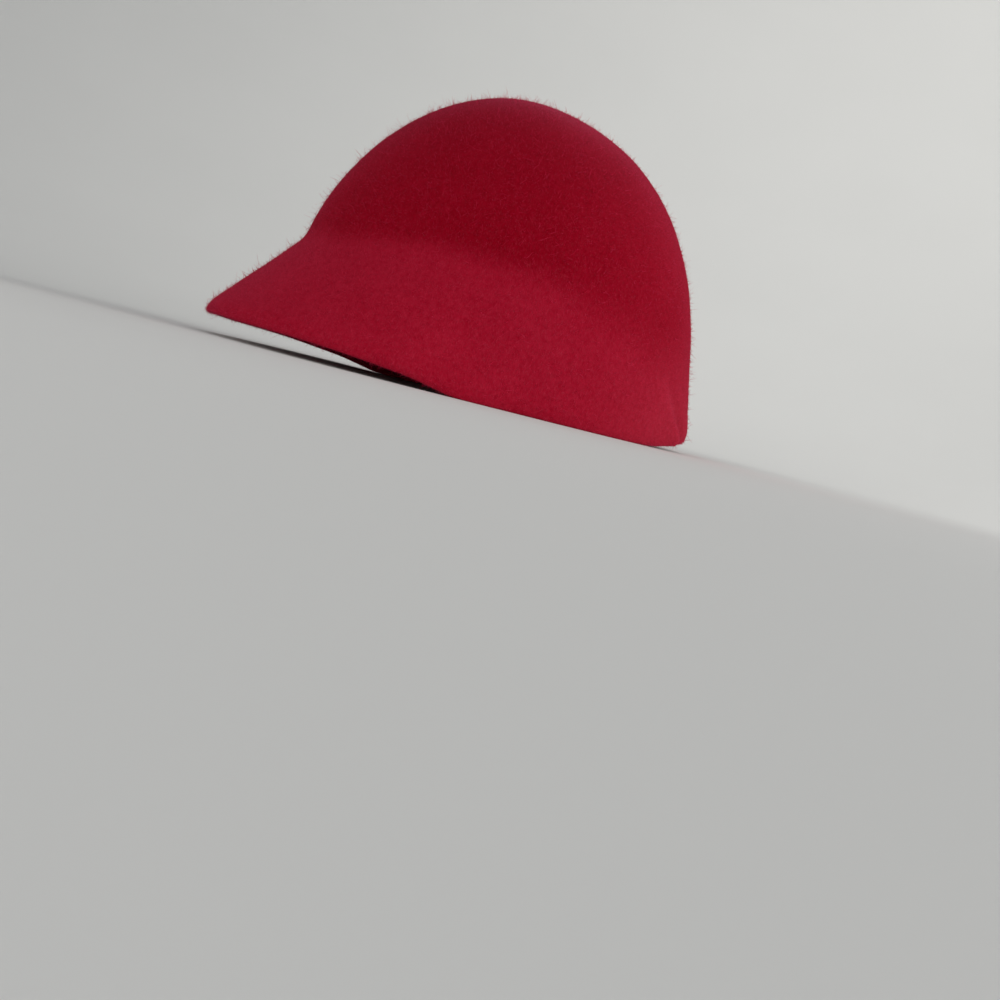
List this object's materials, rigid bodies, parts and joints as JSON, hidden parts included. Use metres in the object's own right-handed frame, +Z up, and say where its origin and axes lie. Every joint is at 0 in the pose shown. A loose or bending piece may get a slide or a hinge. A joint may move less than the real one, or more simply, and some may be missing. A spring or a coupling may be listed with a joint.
{
  "type": "felt jockey cap",
  "caption": "One-piece wool felt cap with a round crown, a peak that flows out of it, a turned-under edge and a ribbon sweatband.",
  "frame": {"origin": "on the ground plane, under the middle of the cap's length and width", "axes": "-Y the way the wearer looks, towards the peak; +X the wearer's left; +Z up through the crown"},
  "size_m": [0.187, 0.2546, 0.1495],
  "materials": {
    "wool_felt": "crimson wool felt, matt, with a short soft nap and loose surface fibres",
    "grosgrain_ribbon": "ribbed crimson ribbon with a low sheen"
  },
  "bodies": {
    "root": {"felt_body": "wool_felt", "sweatband": "grosgrain_ribbon"}
  },
  "joints": []
}
